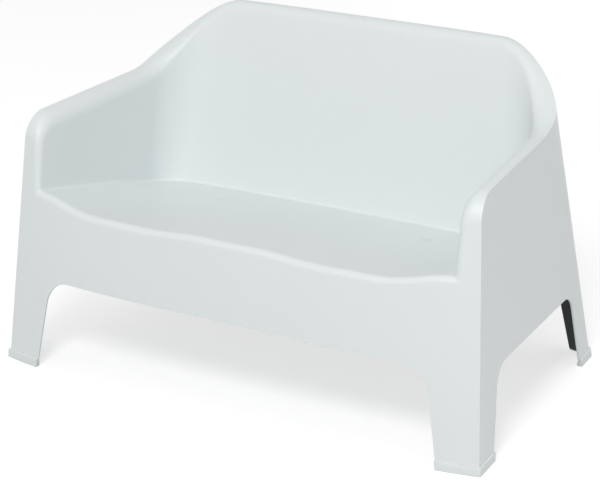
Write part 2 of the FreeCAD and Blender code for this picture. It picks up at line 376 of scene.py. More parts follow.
@dataclass(frozen=True)
class RimShape:
    """The rim: level arms that rise to the back in an S-curve round the rear corners."""

    height: float = 0.853
    arm_height: float = 0.646
    slope: float = 0.071
    turn_x: float = 0.3879
    turn_y: float = 0.495
    turn_radius: float = 0.210
    rise_start: float = -0.030
    rise_end: float = 0.330
    shoulder: float = 0.073

    def level(self, x: float, y: float) -> float:
        """Height of the rim over a point in plan.

        Args:
            x: distance from the middle plane.
            y: the depth.

        Returns:
            The height.
        """
        across, along = abs(x) - self.turn_x, y - self.turn_y
        arm = self.arm_height + self.slope * min(y, self.turn_y)
        top = self.height - self.arm_height - self.slope * self.turn_y
        if across <= 0:
            return self.height
        distance = self.turn_radius * math.atan2(along, across)
        return arm + top * smooth((distance - self.rise_start)
                                  / (self.rise_end - self.rise_start))

    def shoulder_point(self, skirt: LeaningBox, x: float, turn: float) -> Vector:
        """A point of the rounded shoulder where the front turns into the arm's top.

        Args:
            skirt: the outer walls.
            x: half width of the point.
            turn: 0 at the front face, 1 on the arm's top.

        Returns:
            The point.
        """
        up = math.hypot(1, self.slope)
        front = math.hypot(1, skirt.front_lean)
        z = self.arm_height - self.shoulder
        for _ in range(SETTLE_STEPS):
            y = skirt.front_depth(x, z) + self.shoulder * front
            z = self.arm_height + self.slope * y - self.shoulder * up
        first = math.atan2(skirt.front_lean, -1)
        last = math.atan2(1, -self.slope)
        angle = mix(first, last, turn)
        return Vector((x, y + self.shoulder * math.cos(angle), z + self.shoulder * math.sin(angle)))


@dataclass(frozen=True)
class ArchEdge:
    """One side of an arch: a level top, a rounded corner and a leaning leg edge."""

    foot: float
    lean: float
    height: float
    radius: float
    opens_down: bool = True     # the opening lies towards smaller values

    @property
    def sign(self) -> int:
        """1 where the opening lies towards smaller values, else -1."""
        return 1 if self.opens_down else -1

    def corner(self, turn: float) -> tuple[float, float]:
        """A point of the rounded corner.

        Args:
            turn: 0 at the level top and 1 at the leg's edge.

        Returns:
            The distance along the wall and the height.
        """
        tilt = math.hypot(1, self.lean)
        z = self.height - self.radius
        centre = self.foot - self.sign * (self.lean * z + self.radius * tilt)
        angle = mix(math.pi / 2, math.atan(self.lean), turn)
        return centre + self.sign * self.radius * math.cos(angle), z + self.radius * math.sin(angle)

    def edge(self, z: float) -> tuple[float, float]:
        """The leg edge's point at a height."""
        return self.foot - self.sign * self.lean * z, z


@dataclass(frozen=True)
class Counts:
    """How finely the moulding's sheet is divided."""

    strip: int = 12
    shoulder: int = 18
    arm: int = 34
    corner_first: int = 16
    corner_last: int = 18
    rear_near: int = 14
    rear_far: int = 34
    flat: int = 4
    band: int = 10
    wall: int = 18
    fillet: int = 4
    front: int = 26
    lip_far: int = 34
    lip_near: int = 18
    lip_end: int = 14

    @property
    def side(self) -> int:
        """Stations from the lip's end to the middle of the rear corner."""
        return self.strip + self.shoulder + self.arm + self.corner_first

    @property
    def across(self) -> int:
        """Stations from the middle of the rear corner to the middle of the back."""
        return self.corner_last + self.rear_near + self.rear_far


@dataclass
class Station:
    """A cross-section of the rim, from the outer edge to the foot of the inner wall."""

    section: Section
    turn: float
    outer: Vector
    corner: Vector      # where the rim's flat would meet the wall without its rounding
    ledge: Vector       # end of the flat
    wall: Vector        # end of the rounding
    outer_run: float
    wall_run: float
    foot_run: float


# ------------------------------------------------------------------------ the moulding
@dataclass(frozen=True)
class Moulding:
    """Seat, back, arms, skirt and legs: one sheet of even thickness."""

    layout: Layout
    seat: SeatShape = SeatShape()
    rim: RimShape = RimShape()
    counts: Counts = Counts()
    strip_rounding: float = 0.018
    arm_rounding: float = 0.038
    back_rounding: float = 0.025
    crease: float = 0.007          # fillet between the seat and the walls
    settle_run: float = 0.060      # length over which the lip's end eases into the strip
    late_spread: float = 2.0       # the outer wall's columns stay upright, then spread to the legs
    sole: float = 0.004            # height of the legs' lower edges, on the feet
    edge_rounding: float = 0.0013
    front_arch: ArchEdge = ArchEdge(0.582, 0.17, 0.243, 0.075)
    rear_arch: ArchEdge = ArchEdge(0.555, 0.17, 0.221, 0.075)
    side_arch_front: ArchEdge = ArchEdge(0.090, 0.20, 0.221, 0.060, opens_down=False)
    side_arch_rear: ArchEdge = ArchEdge(0.708, 0.30, 0.221, 0.060)
    slot_x: float = 0.304
    slot_y: float = 0.439
    slot_length: float = 0.034
    slot_width: float = 0.005
    slot_low: float = 0.30         # the slot cutters' lower and upper ends
    slot_high: float = 0.46
    slot_parts: int = 8
    near_end: float = 0.045        # the lip's columns draw closer this far before its end
    far_end: float = 0.125

    # ---- small helpers
    def on_front(self, x: float, z: float) -> Vector:
        """The front face's point."""
        return Vector((x, self.layout.skirt.front_depth(x, z), z))

    def on_seat(self, x: float, y: float) -> Vector:
        """The seat's point."""
        return Vector((x, y, self.seat.level(x, y)))

    def rounded(self, corner: Vector, start: Vector, end: Vector, count: int) -> list[Vector]:
        """Points of an elliptic rounding, tangent to both sides at its ends.

        Args:
            corner: where the two sides would meet.
            start: the rounding's first point.
            end: its last point.
            count: how many lengths it has.

        Returns:
            The points from start to end.
        """
        points = []
        for i in range(count + 1):
            angle = math.pi / 2 * i / count
            points.append(corner + (start - corner) * (1 - math.sin(angle))
                          + (end - corner) * (1 - math.cos(angle)))
        return points

    # ---- the lip across the front of the seat
    def lip_widths(self) -> list[float]:
        """Half widths of the lip's columns, from the middle to the crease's fillet.

        Returns:
            The half widths, closer together near the end.
        """
        count = self.counts
        end = self.triple_point().x - self.crease
        near, middle = end - self.near_end, end - self.far_end
        return ([0.0] + steps(count.lip_far, 0.0, middle)
                + steps(count.lip_near, middle, near) + steps(count.lip_end, near, end))

    @functools.lru_cache(maxsize=None)
    def triple_point(self) -> Vector:
        """Where the front face, the seat and the arm's inner wall would meet.

        Returns:
            The point.
        """
        x, y, z = self.seat.half, 0.0, self.seat.front
        for _ in range(SETTLE_STEPS):
            y = self.layout.skirt.front_depth(x, z)
            x = self.layout.tub.side_x(y, z)
            z = self.seat.level(x, y)
        return Vector((x, y, z))

    def lip_column(self, x: float) -> tuple[Vector, Vector, Vector]:
        """The lip at a half width.

        Args:
            x: the half width.

        Returns:
            The sharp corner, the start on the front face and the end on the seat.
        """
        z = self.seat.front
        for _ in range(SETTLE_STEPS):
            z = self.seat.level(x, self.layout.skirt.front_depth(x, z))
        corner = self.on_front(x, z)
        radius = self.strip_rounding
        end = self.triple_point().x - self.crease
        ease = smooth(1 - (end - x) / self.settle_run)
        return (corner, self.on_front(x + ease * radius, z - radius),
                self.on_seat(x, corner.y + radius))

    # ---- the rim, station by station
    def rounding(self, station: int) -> float:
        """Radius of the rim's inner rounding at a station.

        Args:
            station: the station's number.

        Returns:
            The radius.
        """
        count = self.counts
        start = count.strip / 2
        arm = count.strip + count.shoulder
        share = smooth((station - start) / (arm - start))
        radius = mix(self.strip_rounding, self.arm_rounding, share)
        turn = smooth((station - arm - count.arm * 0.8) / (count.corner_first + count.corner_last))
        return mix(radius, self.back_rounding, turn)

    def tub_edge(self, turn: float) -> Vector:
        """The shoulder's point on the tub's side wall.

        Args:
            turn: 0 at the front face, 1 on the arm's top.

        Returns:
            The point.
        """
        x = self.seat.half
        for _ in range(SETTLE_STEPS):
            point = self.rim.shoulder_point(self.layout.skirt, x, turn)
            x = self.layout.tub.side_x(point.y, point.z)
        return point

    def skirt_edge(self, turn: float) -> Vector:
        """The shoulder's point on the outer side wall.

        Args:
            turn: 0 at the front face, 1 on the arm's top.

        Returns:
            The point.
        """
        x = self.layout.width / 2
        for _ in range(SETTLE_STEPS):
            point = self.rim.shoulder_point(self.layout.skirt, x, turn)
            x = self.layout.skirt.side_x(point.y, point.z)
        return point

    def rim_point(self, box: LeaningBox, run: float) -> Vector:
        """Where a wall meets the rim.

        Args:
            box: the box that the wall follows.
            run: the point's run.

        Returns:
            The point.
        """
        z = self.rim.height
        for _ in range(SETTLE_STEPS * 2):
            point = box.around(run, z)
            z = self.rim.level(point.x, point.y)
        return box.around(run, z)

    @functools.lru_cache(maxsize=None)
    def first_foot(self) -> tuple[Vector, Vector, Vector]:
        """The crease at the lip's end.

        Returns:
            The sharp corner, and the fillet's ends on the seat and on the wall.
        """
        on_seat = self.lip_column(self.triple_point().x - self.crease)[2]
        x, z = on_seat.x, on_seat.z
        for _ in range(SETTLE_STEPS):
            x = self.layout.tub.side_x(on_seat.y, z)
            z = self.seat.level(x, on_seat.y)
        high = z + self.crease
        on_wall = Vector((self.layout.tub.side_x(on_seat.y, high), on_seat.y, high))
        return Vector((x, on_seat.y, z)), on_seat, on_wall

    def strip_station(self, index: int, share: float) -> Station:
        """A station of the upright strip at the front of an arm.

        Args:
            index: the station's number.
            share: 0 at the lip, 1 at the shoulder.

        Returns:
            The station.
        """
        skirt, tub = self.layout.skirt, self.layout.tub
        triple = self.triple_point()
        low = triple.z + self.crease
        z = mix(low, self.tub_edge(0).z, share)
        radius = self.rounding(index)
        x = triple.x
        for _ in range(SETTLE_STEPS):
            x = tub.side_x(skirt.front_depth(x, z), z)
        corner = self.on_front(x, z)
        ease = smooth(1 - (z - low) / self.settle_run)
        foot = self.first_foot()[2]
        depth = mix(corner.y + radius, foot.y, ease)
        wall_z = z - mix(radius * skirt.front_lean, low - foot.z, ease)
        outer_z = mix(low - radius, self.skirt_edge(0).z, share)
        outer_x, outer_y = skirt.front_corner(outer_z)
        wall = Vector((tub.side_x(depth, wall_z), depth, wall_z))
        return Station(Section.FRONT, 0.0, Vector((outer_x, outer_y, outer_z)), corner,
                       self.on_front(x + radius, z - ease * radius), wall, 0.0,
                       tub.run_at_depth(depth, wall_z), 0.0)

    def shoulder_station(self, index: int, turn: float) -> Station:
        """A station of the rounded shoulder.

        Args:
            index: the station's number.
            turn: 0 at the front face, 1 on the arm's top.

        Returns:
            The station.
        """
        skirt, tub, radius = self.layout.skirt, self.layout.tub, self.rounding(index)
        corner, outer = self.tub_edge(turn), self.skirt_edge(turn)
        angle = mix(math.atan2(skirt.front_lean, -1), math.atan2(1, -self.rim.slope), turn)
        y = corner.y - radius * math.cos(angle)
        z = corner.z - radius * math.sin(angle)
        ledge = self.rim.shoulder_point(skirt, corner.x + radius, turn)
        return Station(Section.SHOULDER, turn, outer, corner, ledge,
                       Vector((tub.side_x(y, z), y, z)), skirt.run_at_depth(outer.y, outer.z),
                       tub.run_at_depth(y, z), 0.0)

    def top_station(self, index: int, outer: Vector, outer_run: float, corner: Vector,
                    run: float) -> Station:
        """A station of the arm's top, the S-curve or the back's top.

        Args:
            index: the station's number.
            outer: its point on the outer edge.
            outer_run: that point's run.
            corner: its sharp inner corner.
            run: that corner's run.

        Returns:
            The station.
        """
        radius = self.rounding(index)
        across = Vector((outer.x - corner.x, outer.y - corner.y, 0))
        ledge = corner + across.normalized() * radius
        ledge.z = self.rim.level(ledge.x, ledge.y)
        wall = self.layout.tub.around(run, corner.z - radius)
        return Station(Section.TOP, 1.0, outer, corner, ledge, wall, outer_run, run, run)

    def arm_point(self, box: LeaningBox, start: Vector, share: float) -> tuple[Vector, float]:
        """A point of the arm's edge.

        Args:
            box: the box that the edge follows.
            start: the edge's point at the shoulder.
            share: 0 at the shoulder, 1 at the rear corner.

        Returns:
            The point and its run.
        """
        first = box.run_at_depth(start.y, start.z)
        run = mix(first, 1.0, share)
        return self.rim_point(box, run), run

    def runs(self) -> list[float]:
        """Runs of the stations from the start of the rear corner to the middle of the back."""
        count = self.counts
        return (steps(count.corner_first, 1.0, 1.5) + steps(count.corner_last, 1.5, 2.0)
                + steps(count.rear_near, 2.0, 2.16) + steps(count.rear_far, 2.16, 3.0))

    def stations(self) -> list[Station]:
        """All stations, from the lip's end round to the middle of the back.

        Returns:
            The stations in order.
        """
        count, skirt, tub = self.counts, self.layout.skirt, self.layout.tub
        found = [self.strip_station(0, 0.0)]
        for share in steps(count.strip):
            found.append(self.strip_station(len(found), share))
        for turn in steps(count.shoulder):
            found.append(self.shoulder_station(len(found), turn))
        corner, outer = found[-1].corner, found[-1].outer
        for share in steps(count.arm):
            edge, edge_run = self.arm_point(skirt, outer, share)
            inner, run = self.arm_point(tub, corner, share)
            found.append(self.top_station(len(found), edge, edge_run, inner, run))
        for run in self.runs():
            found.append(self.top_station(len(found), self.rim_point(skirt, run), run,
                                          self.rim_point(tub, run), run))
        self.set_feet(found)
        return found

    def set_feet(self, stations: list[Station]) -> None:
        """Spreads the ends of the first stations along the foot of the arm's wall.

        Args:
            stations: all stations; their runs at the foot are set.
        """
        last = self.counts.strip + self.counts.shoulder
        start = stations[0].wall.y
        end = stations[last].wall.y
        for index in range(last + 1):
            y = mix(start, end, index / last)
            stations[index].foot_run = self.layout.tub.run_at_depth(y, self.seat.front)

    def foot_points(self, station: Station) -> tuple[Vector, Vector, Vector]:
        """The crease under a station.

        Args:
            station: the station above.

        Returns:
            The sharp corner, and the fillet's ends on the seat and on the wall.
        """
        if station.section is Section.FRONT and station.wall == self.first_foot()[2]:
            return self.first_foot()
        tub, run = self.layout.tub, station.foot_run
        z = self.seat.front
        for _ in range(SETTLE_STEPS):
            point = tub.around(run, z)
            z = self.seat.level(point.x, point.y)
        corner = tub.around(run, z)
        inward = tub.inward(run, z)
        if run > 3 - 1e-6:
            inward.x = 0
        on_seat = corner + inward * self.crease
        return corner, self.on_seat(on_seat.x, on_seat.y), tub.around(run, z + self.crease)

    def flat_points(self, station: Station) -> list[Vector]:
        """The rim's flat from the outer edge to the start of the rounding.

        Args:
            station: the station.

        Returns:
            The points.
        """
        points = []
        for share in [0.0] + steps(self.counts.flat):
            point = station.outer.lerp(station.ledge, share)
            if 0 < share < 1:
                if station.section is Section.FRONT:
                    point = self.on_front(point.x, point.z)
                elif station.section is Section.SHOULDER:
                    point = self.rim.shoulder_point(self.layout.skirt, point.x, station.turn)
                else:
                    point.z = self.rim.level(point.x, point.y)
            points.append(point)
        return points

    def column(self, station: Station) -> list[Vector]:
        """A station's points from the outer edge over the rim and down to the seat.

        Args:
            station: the station.

        Returns:
            The points.
        """
        count, tub = self.counts, self.layout.tub
        corner, on_seat, on_wall = self.foot_points(station)
        points = self.flat_points(station)
        points += self.rounded(station.corner, station.ledge, station.wall, count.band)[1:]
        for share in steps(count.wall):
            run = mix(station.wall_run, station.foot_run, share)
            points.append(tub.around(run, mix(station.wall.z, on_wall.z, share)))
        points += self.rounded(corner, on_seat, on_wall, count.fillet)[::-1][1:]
        return points

    # ---- the grids of the sheet
    def lip_grids(self, stations: list[Station]) -> list[Grid]:
        """The rounded lip, and the small patch where it turns up into the arm's front.

        Args:
            stations: all stations.

        Returns:
            The lip's grid and the patch's.
        """
        count = self.counts
        lip = [self.rounded(corner, start, end, count.band)
               for corner, start, end in map(self.lip_column, self.lip_widths())]
        corner, start, end = self.lip_column(self.lip_widths()[-1])
        first = stations[0]
        crease, on_seat, on_wall = self.foot_points(first)
        triple = self.triple_point()
        radius = self.strip_rounding
        low = self.on_front(triple.x + radius, triple.z - radius)
        corners = self.rounded(triple, corner, first.corner, count.fillet)
        starts = self.rounded(low, start, first.ledge, count.fillet)
        ends = self.rounded(crease, end, first.wall, count.fillet)
        turn = [self.rounded(c, s, e, count.band) for c, s, e in zip(corners, starts, ends)]
        return [lip, turn]

    def seat_grid(self, stations: list[Station], lip: Grid) -> Grid:
        """The seat, between the lip, the foot of the walls and the middle plane.

        Args:
            stations: all stations.
            lip: the lip's grid.

        Returns:
            The grid, column by column from the middle plane.
        """
        side, across = self.counts.side, self.counts.across
        feet = [self.foot_points(station)[1] for station in stations]
        front = [column[-1] for column in lip]
        right = feet[:side + 1]
        rear = feet[side:][::-1]
        span = right[-1].y - right[0].y
        grid = []
        for i in range(across + 1):
            s = front[i].x / front[-1].x
            column = []
            for j in range(side + 1):
                t = (right[j].y - right[0].y) / span
                left_x, left_y = 0.0, mix(front[0].y, rear[0].y, t)
                x = (mix(front[i].x, rear[i].x, t) + mix(left_x, right[j].x, s)
                     - mix(mix(front[0].x, front[-1].x, s), mix(rear[0].x, rear[-1].x, s), t))
                y = (mix(front[i].y, rear[i].y, t) + mix(left_y, right[j].y, s)
                     - mix(mix(front[0].y, front[-1].y, s), mix(rear[0].y, rear[-1].y, s), t))
                column.append(self.on_seat(x, y))
            grid.append(column)
        return grid

    def front_grid(self, lip: Grid, turn: Grid, first: list[Vector]) -> Grid:
        """The front face, from the lip and the arm's strip down to the arch and the leg.

        Args:
            lip: the lip's grid.
            turn: the grid of the patch at the lip's end.
            first: the first station's points.

        Returns:
            The grid, column by column from the middle plane.
        """
        count = self.counts
        top = [column[0] for column in lip] + [column[0] for column in turn[1:]]
        top += first[:count.flat][::-1]
        arch = self.front_arch
        start = arch.corner(0)[0]
        low = [(mix(0, start, i / count.lip_far), arch.height) for i in range(count.lip_far + 1)]
        low += [arch.corner(turn) for turn in steps(count.lip_near)]
        last = low[-1][1]
        low += [arch.edge(z) for z in steps(count.lip_end, last, self.sole)]
        inner = low[-1][0]
        outer = self.layout.skirt.front_corner(self.sole)[0]
        low += [(x, self.sole) for x in steps(count.fillet + count.flat, inner, outer)]
        grid = []
        for high, (x, z) in zip(top, low):
            column = [high]
            for share in steps(count.front):
                column.append(self.on_front(mix(high.x, x, share), mix(high.z, z, share)))
            grid.append(column)
        return grid

    def lower_edge(self) -> list[tuple[float, float]]:
        """The outer wall's lower edge, under each station.

        Returns:
            A run and a height for each station.
        """
        count, skirt, sole = self.counts, self.layout.skirt, self.sole
        front, rear, back = self.side_arch_front, self.side_arch_rear, self.rear_arch
        by_depth = [(skirt.front_corner(sole)[1], sole)]
        by_depth += [(y, sole) for y in steps(count.strip, by_depth[0][0], front.edge(sole)[0])]
        rise = count.shoulder // 2
        tangent = front.corner(1)
        by_depth += [front.edge(z) for z in steps(rise, sole, tangent[1])]
        by_depth += [front.corner(1 - turn) for turn in steps(count.shoulder - rise)]
        by_depth += [(y, front.height) for y in steps(count.arm, front.corner(0)[0],
                                                      rear.corner(0)[0])]
        fall, bottom = count.corner_first // 3, 3
        by_depth += [rear.corner(turn) for turn in steps(count.corner_first - fall - bottom)]
        by_depth += [rear.edge(z) for z in steps(fall, rear.corner(1)[1], sole)]
        edge = [(skirt.run_at_depth(y, z), z) for y, z in by_depth]
        edge += [(run, sole) for run in steps(bottom, edge[-1][0], 1.0)]
        corner, leg = 5, 4
        edge += [(run, sole) for run in steps(corner, 1.0, 2.0)]
        foot = skirt.run_at_width(back.edge(sole)[0], sole)
        edge += [(run, sole) for run in steps(leg, 2.0, foot)]
        by_width = [back.edge(z) for z in steps(count.corner_last - corner - leg, sole,
                                                back.corner(1)[1])]
        by_width += [back.corner(1 - turn) for turn in steps(count.rear_near)]
        by_width += [(x, back.height) for x in steps(count.rear_far, back.corner(0)[0], 0.0)]
        return edge + [(skirt.run_at_width(x, z), z) for x, z in by_width]

    def outer_grid(self, stations: list[Station]) -> Grid:
        """The outer wall, from the rim's outer edge down to the arches and the legs.

        Args:
            stations: all stations.

        Returns:
            The grid, with a column under each station.
        """
        grid = []
        for station, (run, z) in zip(stations, self.lower_edge()):
            column = [station.outer]
            for share in steps(self.counts.front):
                along = mix(station.outer_run, run, share ** self.late_spread)
                column.append(self.layout.skirt.around(along, mix(station.outer.z, z, share)))
            grid.append(column)
        return grid

    def sheet(self) -> bpy.types.Mesh:
        """The outer face of the moulding as one open, welded sheet.

        Returns:
            The mesh, with its faces pointing outwards.
        """
        stations = self.stations()
        columns = [self.column(station) for station in stations]
        lip, turn = self.lip_grids(stations)
        grids = [columns, lip, turn, self.seat_grid(stations, lip),
                 self.front_grid(lip, turn, columns[0]), self.outer_grid(stations)]
        work = bmesh.new()
        for sign in (1, -1):
            for grid in grids:
                add_grid(work, [[self.layout.place(Vector((sign * p.x, p.y, p.z))) for p in column]
                                for column in grid])
        bmesh.ops.remove_doubles(work, verts=work.verts, dist=WELD)
        bmesh.ops.recalc_face_normals(work, faces=work.faces)
        highest = max(work.faces, key=lambda face: face.calc_center_median().z)
        if highest.normal.z < 0:
            bmesh.ops.reverse_faces(work, faces=work.faces)
        return finish_mesh(work, "bench_moulding")

    def slot_cutters(self) -> bpy.types.Mesh:
        """The two slots with round ends that let water out of the hollows.

        Returns:
            A closed mesh for each slot, in one.
        """
        work = bmesh.new()
        reach = (self.slot_length - self.slot_width) / 2
        half, parts = self.slot_width / 2, self.slot_parts
        for side in (-1, 1):
            ring = []
            for end in (1, -1):
                for i in range(parts + 1):
                    angle = -end * math.pi / 2 + math.pi * i / parts
                    if end < 0:
                        angle = math.pi / 2 + math.pi * i / parts
                    ring.append((side * self.slot_x + end * reach + half * math.cos(angle),
                                 self.slot_y + half * math.sin(angle)))
            low = [work.verts.new(self.layout.place(Vector((x, y, self.slot_low)))) for x, y in ring]
            high = [work.verts.new(self.layout.place(Vector((x, y, self.slot_high)))) for x, y in ring]
            work.faces.new(low[::-1])
            work.faces.new(high)
            for i in range(len(ring)):
                j = (i + 1) % len(ring)
                work.faces.new((low[i], low[j], high[j], high[i]))
        bmesh.ops.recalc_face_normals(work, faces=work.faces)
        return finish_mesh(work, "slot_cutters")

    def build(self, finish: "Finish") -> bpy.types.Object:
        """The finished moulding: the sheet with its thickness, slots and softened edges.

        Args:
            finish: its surface finish.

        Returns:
            The piece.
        """
        piece = add_object("bench_moulding", self.sheet())
        thick = piece.modifiers.new("wall", "SOLIDIFY")
        thick.thickness = self.layout.wall
        thick.offset = -1
        thick.use_even_offset = True
        thick.use_quality_normals = True
        cutters = add_object("slot_cutters", self.slot_cutters())
        cut = piece.modifiers.new("drain slots", "BOOLEAN")
        cut.operation = "DIFFERENCE"
        cut.solver = "EXACT"
        cut.object = cutters
        apply_modifiers(piece)
        bpy.data.objects.remove(cutters)
        for vertex in piece.data.vertices:
            vertex.co.z = max(vertex.co.z, self.sole)
        bevel = piece.modifiers.new("edges", "BEVEL")
        bevel.width = self.edge_rounding
        bevel.segments = 2
        bevel.limit_method = "ANGLE"
        bevel.angle_limit = math.radians(48)
        bevel.harden_normals = True
        apply_modifiers(piece)
        dress(piece, finish.material())
        return piece


# ---------------------------------------------------------------------------- the ribs
@dataclass(frozen=True)
class SeatRibs:
    """A grid of ribs that hangs from the underside of the seat."""

    layout: Layout
    seat: SeatShape = SeatShape()
    thickness: float = 0.004
    depth: float = 0.026
    shorter: float = 0.001         # how much less the ribs from front to back hang down
    first: float = 0.150           # depth of the first rib that runs across
    pitch_depth: float = 0.170
    rows: int = 3
    pitch_width: float = 0.220
    columns: int = 5
    front: float = 0.025
    guide_step: float = 0.015
    guide_half: float = 0.630
    guide_margin: float = 0.060
    parts: int = 90                # lengths that each rib is divided into

    def guide(self) -> bpy.types.Mesh:
        """The seat's surface with a margin all round, for the ribs to follow.

        Returns:
            An open mesh.
        """
        wide = round(2 * self.guide_half / self.guide_step)
        start, end = -self.guide_margin, self.layout.back_foot + self.guide_margin
        deep = round((end - start) / self.guide_step)
        grid = []
        for i in range(wide + 1):
            x = mix(-self.guide_half, self.guide_half, i / wide)
            depths = [mix(start, end, j / deep) for j in range(deep + 1)]
            grid.append([self.layout.place(Vector((x, y, self.seat.level(x, y)))) for y in depths])
        work = bmesh.new()
        add_grid(work, grid)
        return finish_mesh(work, "seat_guide")

    def values(self) -> dict[str, float | int]:
        """The group's inputs by name.

        Returns:
            A number for each named input.
        """
        layout, tub = self.layout, self.layout.tub
        half = tub.side_x(layout.middle, layout.seat_rear_height) - layout.wall
        return {"Thickness": self.thickness, "Depth": self.depth, "Shorter": self.shorter,
                "Below": layout.wall / 2, "First": self.first - layout.middle,
                "Pitch depth": self.pitch_depth, "Rows": self.rows,
                "Pitch width": self.pitch_width, "Columns": self.columns,
                "Half width": half, "Taper": tub.taper,
                "Front": self.front - layout.middle, "Back": layout.back_foot - layout.middle,
                "Parts": self.parts}

    def group(self) -> bpy.types.NodeTree:
        """The node group that lays both sets of ribs under the guide.

        Returns:
            A geometry node group with named inputs.
        """
        net = Network("seat_rib_grid")
        for name, value in self.values().items():
            net.add_input(name, value)
        net.add_input("Guide", None, "NodeSocketObject")
        net.add_input("Material", None, "NodeSocketMaterial")
        value = net.value
        across = self.rib_set(
            net, net.vector(0.0, value("First"), 0.0), net.vector(0.0, value("Pitch depth"), 0.0),
            value("Rows"), net.vector(1.0, value("Thickness"), value("Depth")),
            (value("Parts"), 2))
        place = net.make("ShaderNodeSeparateXYZ", Vector=net.make("GeometryNodeInputPosition"))
        reach = net.math("SUBTRACT", value("Half width"),
                         net.math("MULTIPLY", value("Taper"), place.outputs["Y"]))
        across.inputs["Scale"].default_value = (1, 1, 1)
        net.join(net.vector(net.math("MULTIPLY", reach, 2.0), 1.0, 1.0), across.inputs["Scale"])
        middle = net.math("MULTIPLY", net.math("ADD", value("Front"), value("Back")), 0.5)
        spread = net.math("MULTIPLY", net.math("SUBTRACT", value("Columns"), 1.0), -0.5)
        start = net.math("MULTIPLY", spread, value("Pitch width"))
        shallow = net.math("SUBTRACT", value("Depth"), value("Shorter"))
        along = self.rib_set(
            net, net.vector(start, middle, 0.0), net.vector(value("Pitch width"), 0.0, 0.0),
            value("Columns"), net.vector(value("Thickness"), 1.0, shallow),
            (2, value("Parts")))
        length = net.math("SUBTRACT", value("Back"), value("Front"))
        net.join(net.vector(1.0, length, 1.0), along.inputs["Scale"])
        both = net.tree.nodes.new("GeometryNodeJoinGeometry")
        for plates, depth in ((across, value("Depth")), (along, shallow)):
            hung = self.hang(net, net.make("GeometryNodeRealizeInstances", Geometry=plates), depth)
            net.tree.links.new(hung.outputs[0], both.inputs[0])
        realized = net.make("GeometryNodeRealizeInstances", Geometry=both)
        dressed = net.make("GeometryNodeSetMaterial", Geometry=realized,
                           Material=value("Material"))
        net.join(dressed, net.outside.inputs["Geometry"])
        return net.tree

    def rib_set(self, net: "Network", start: "Source", offset: "Source", count: "Source",
                size: "Source", parts: tuple["Source", "Source"]) -> bpy.types.Node:
        """One straight plate on each point of a line.

        Args:
            net: the group being built.
            start: the first plate's place.
            offset: the step from each plate to the next.
            count: how many plates.
            size: a plate's size, with 1 for its length.
            parts: points along x and along y of a plate.

        Returns:
            The node that puts the plates on the points.
        """
        line = net.make("GeometryNodeMeshLine", Count=count, Start_Location=start, Offset=offset)
        plate = net.make("GeometryNodeMeshCube", Size=size, Vertices_X=parts[0],
                         Vertices_Y=parts[1], Vertices_Z=2)
        return net.make("GeometryNodeInstanceOnPoints", Points=line, Instance=plate)

    def hang(self, net: "Network", plates: bpy.types.Node, depth: "Source") -> bpy.types.Node:
        """Moves plates up or down until their tops lie in the seat's thickness.

        Args:
            net: the group being built.
            plates: the node that gives the plates.
            depth: how far they hang down.

        Returns:
            The node that gives the moved plates.
        """
        info = net.make("GeometryNodeObjectInfo", Object=net.value("Guide"))
        spot = net.make("ShaderNodeSeparateXYZ", Vector=net.make("GeometryNodeInputPosition"))
        above = net.vector(spot.outputs["X"], spot.outputs["Y"], 2.0)
        hit = net.make("GeometryNodeRaycast", Target_Geometry=info.outputs["Geometry"],
                       Source_Position=above, Ray_Direction=net.vector(0.0, 0.0, -1.0),
                       Ray_Length=5.0)
        found = net.make("ShaderNodeSeparateXYZ", Vector=hit.outputs["Hit Position"])
        lower = net.math("ADD", net.value("Below"), net.math("MULTIPLY", depth, 0.5))
        shift = net.math("SUBTRACT", found.outputs["Z"], lower)
        return net.make("GeometryNodeSetPosition", Geometry=plates,
                        Offset=net.vector(0.0, 0.0, shift))

    def build(self, finish: "Finish") -> bpy.types.Object:
        """The ribs as one plain mesh.

        Args:
            finish: their surface finish.

        Returns:
            The piece.
        """
        piece = add_object("seat_ribs", bpy.data.meshes.new("seat_ribs"))
        guide = add_object("seat_guide", self.guide())
        ribs = piece.modifiers.new("ribs", "NODES")
        ribs.node_group = self.group()
        given = dict(self.values(), Guide=guide, Material=finish.material())
        for item in ribs.node_group.interface.items_tree:
            if item.in_out == "INPUT" and item.name in given:
                ribs[item.identifier] = given[item.name]
        apply_modifiers(piece)
        bpy.data.objects.remove(guide)
        return piece


Source = float | int | bpy.types.Node | bpy.types.NodeSocket


